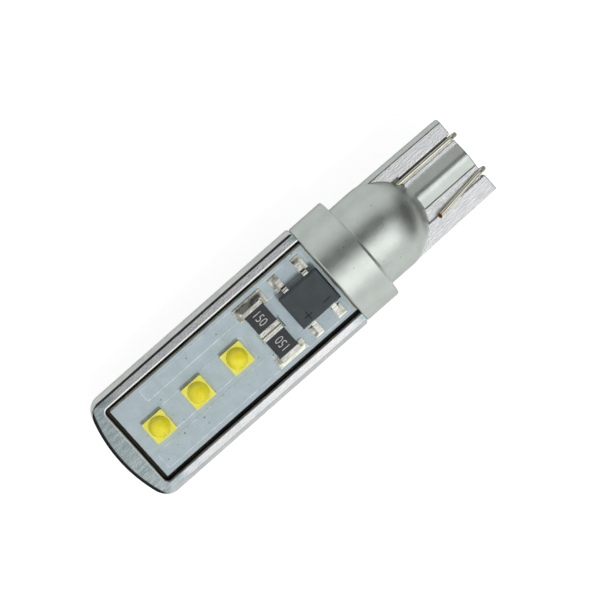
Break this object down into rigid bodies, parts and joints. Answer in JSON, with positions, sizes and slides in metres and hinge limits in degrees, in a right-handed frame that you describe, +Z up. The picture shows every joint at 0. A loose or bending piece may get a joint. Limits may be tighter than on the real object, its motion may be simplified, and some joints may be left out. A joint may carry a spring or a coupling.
{
  "type": "wedge base led bulb",
  "caption": "Wedge base lamp: an aluminium bar heat sink with circuit boards and LED packages let into its flat faces, in a silver base whose ribbed blade carries wire contacts.",
  "frame": {"origin": "middle of the box's underside, on the surface that the lamp lies on", "axes": "+X along the lamp towards the blade's end, +Z up; the lamp lies on its back face as it comes to rest"},
  "size_m": [0.0466, 0.0124, 0.0124],
  "materials": {
    "aluminium": "turned and blasted sides, milled rims with a brushed grain",
    "silver_paint": "silver painted plastic, satin",
    "solder_mask": "pale grey solder mask over raised traces",
    "led_phosphor": "yellow phosphor package and clear moulded dome",
    "resistor_black": "black glazed chip with grey numbers and tinned ends",
    "rectifier_epoxy": "dark grey moulded epoxy, fine matt grain",
    "tinned_lead": "tin plated strip",
    "solder": "bright flowed solder",
    "contact_wire": "nickel plated brass wire, dull",
    "link_wire": "tinned copper wire"
  },
  "bodies": {
    "root": {"circuit_board_back": "solder_mask", "circuit_board_front": "solder_mask", "contact_wire_back": "contact_wire", "contact_wire_front": "contact_wire", "heat_sink_body": "aluminium", "lead_solder_back_1": "solder", "lead_solder_back_2": "solder", "lead_solder_back_3": "solder", "lead_solder_back_4": "solder", "lead_solder_front_1": "solder", "lead_solder_front_2": "solder", "lead_solder_front_3": "solder", "lead_solder_front_4": "solder", "led_back_1": "led_phosphor", "led_back_2": "led_phosphor", "led_back_3": "led_phosphor", "led_front_1": "led_phosphor", "led_front_2": "led_phosphor", "led_front_3": "led_phosphor", "link_wire_1": "link_wire", "link_wire_2": "link_wire", "rectifier_back": "rectifier_epoxy", "rectifier_front": "rectifier_epoxy", "rectifier_lead_back_1": "tinned_lead", "rectifier_lead_back_2": "tinned_lead", "rectifier_lead_back_3": "tinned_lead", "rectifier_lead_back_4": "tinned_lead", "rectifier_lead_front_1": "tinned_lead", "rectifier_lead_front_2": "tinned_lead", "rectifier_lead_front_3": "tinned_lead", "rectifier_lead_front_4": "tinned_lead", "resistor_back_1": "resistor_black", "resistor_back_2": "resistor_black", "resistor_front_1": "resistor_black", "resistor_front_2": "resistor_black", "resistor_solder_back_middle": "solder", "resistor_solder_back_outer_1": "solder", "resistor_solder_back_outer_2": "solder", "resistor_solder_front_middle": "solder", "resistor_solder_front_outer_1": "solder", "resistor_solder_front_outer_2": "solder", "wedge_base": "silver_paint", "wire_solder_back": "solder", "wire_solder_front": "solder"}
  },
  "joints": []
}
